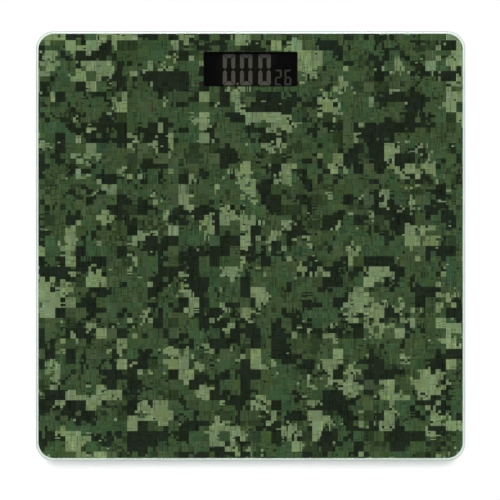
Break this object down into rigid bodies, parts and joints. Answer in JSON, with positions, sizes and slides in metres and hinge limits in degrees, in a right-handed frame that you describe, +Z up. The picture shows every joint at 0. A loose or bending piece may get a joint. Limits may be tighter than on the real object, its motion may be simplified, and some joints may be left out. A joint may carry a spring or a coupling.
{
  "type": "digital bathroom scale",
  "caption": "Square tempered-glass bathroom scale with a camouflage print, a display window and round weighing feet.",
  "frame": {"origin": "on the floor, under the middle of the platform", "axes": "+Z up, +Y towards the display window (away from the user), +X to the user's right"},
  "size_m": [0.3, 0.3, 0.023],
  "materials": {
    "platform_glass": "clear tempered glass with polished edges",
    "camo_ink": "screen-printed ink in greens",
    "white_lacquer": "satin lacquer",
    "foam_tape": "closed-cell foam",
    "housing_plastic": "fine-textured moulded plastic",
    "door_plastic": "fine-textured moulded plastic",
    "screw_steel": "zinc-plated",
    "cell_sleeve": "printed sleeve",
    "contact_steel": "nickel-plated spring steel",
    "red_wire": "flexible insulation",
    "white_wire": "flexible insulation",
    "black_wire": "flexible insulation",
    "lcd_glass": "polished",
    "lcd_segment": "unlit liquid-crystal segments",
    "lcd_black": "polished",
    "light_guide": "clear light guide on a white film",
    "led_body": "moulded",
    "zebra_rubber": "satin",
    "board_laminate": "solder mask",
    "epoxy_black": "moulded epoxy",
    "crystal_can": "drawn can",
    "capacitor_sleeve": "shrink sleeve",
    "capacitor_ceramic": "matt",
    "solder": "satin",
    "switch_plunger": "satin",
    "button_plastic": "satin",
    "foot_plastic": "fine-textured moulded plastic",
    "load_cell_steel": "stamped spring steel",
    "gauge_silicone": "matt silicone",
    "pad_rubber": "matt"
  },
  "bodies": {
    "platform": {"glass_plate": "platform_glass", "camo_print": "camo_ink", "backing_coat": "white_lacquer", "housing_tape": "foam_tape", "housing_frame": "housing_plastic", "housing_cover": "housing_plastic", "cover_screws": "screw_steel", "battery_front": "cell_sleeve", "battery_rear": "cell_sleeve", "battery_plates": "contact_steel", "battery_springs": "contact_steel", "battery_leads": "red_wire", "lcd_front_glass": "lcd_glass", "lcd_segments": "lcd_segment", "lcd_rear_glass": "lcd_black", "zebra_strips": "zebra_rubber", "backlight_panel": "light_guide", "reflector_film": "light_guide", "backlight_led": "led_body", "circuit_board": "board_laminate", "board_screws": "screw_steel", "chip_blob": "epoxy_black", "quartz_crystal": "crystal_can", "electrolytic_capacitors": "capacitor_sleeve", "smd_resistors": "epoxy_black", "smd_capacitors": "capacitor_ceramic", "temperature_sensor": "epoxy_black", "solder_joints": "solder", "unit_switch": "epoxy_black", "cable_duct_left": "housing_plastic", "cable_duct_right": "housing_plastic", "duct_tapes": "foam_tape", "wires_red": "red_wire", "wires_white": "white_wire", "wires_black": "black_wire", "foot_tapes": "foam_tape", "foot_base_front_left": "foot_plastic", "foot_base_front_right": "foot_plastic", "foot_base_rear_left": "foot_plastic", "foot_base_rear_right": "foot_plastic", "load_cell_front_left": "load_cell_steel", "load_cell_front_right": "load_cell_steel", "load_cell_rear_left": "load_cell_steel", "load_cell_rear_right": "load_cell_steel", "strain_gauge_front_left": "gauge_silicone", "strain_gauge_front_right": "gauge_silicone", "strain_gauge_rear_left": "gauge_silicone", "strain_gauge_rear_right": "gauge_silicone"},
    "foot_front_left": {"foot_cap_front_left": "foot_plastic", "foot_pad_front_left": "pad_rubber"},
    "foot_front_right": {"foot_cap_front_right": "foot_plastic", "foot_pad_front_right": "pad_rubber"},
    "foot_rear_left": {"foot_cap_rear_left": "foot_plastic", "foot_pad_rear_left": "pad_rubber"},
    "foot_rear_right": {"foot_cap_rear_right": "foot_plastic", "foot_pad_rear_right": "pad_rubber"},
    "battery_door": {"battery_door": "door_plastic"},
    "unit_button": {"unit_button": "button_plastic", "unit_switch_plunger": "switch_plunger"}
  },
  "joints": [
    {"name": "foot_front_left_travel", "type": "slide", "parent": "platform", "child": "foot_front_left", "axis": [0, 0, 1], "range_m": [0, 0.0008], "stiffness_N_per_m": 1000, "springref_m": -0.0042, "deforming": ["load_cell_front_left"]},
    {"name": "foot_front_right_travel", "type": "slide", "parent": "platform", "child": "foot_front_right", "axis": [0, 0, 1], "range_m": [0, 0.0008], "stiffness_N_per_m": 1000, "springref_m": -0.0042, "deforming": ["load_cell_front_right"]},
    {"name": "foot_rear_left_travel", "type": "slide", "parent": "platform", "child": "foot_rear_left", "axis": [0, 0, 1], "range_m": [0, 0.0008], "stiffness_N_per_m": 1000, "springref_m": -0.0042, "deforming": ["load_cell_rear_left"]},
    {"name": "foot_rear_right_travel", "type": "slide", "parent": "platform", "child": "foot_rear_right", "axis": [0, 0, 1], "range_m": [0, 0.0008], "stiffness_N_per_m": 1000, "springref_m": -0.0042, "deforming": ["load_cell_rear_right"]},
    {"name": "battery_door_hinge", "type": "hinge", "parent": "platform", "child": "battery_door", "pos_m": [0, 0.09725, 0.004], "axis": [1, 0, 0], "range_deg": [0, 90]},
    {"name": "unit_button_press", "type": "slide", "parent": "platform", "child": "unit_button", "axis": [0, 0, 1], "range_m": [0, 0.0005], "stiffness_N_per_m": 600, "springref_m": -0.0005}
  ]
}
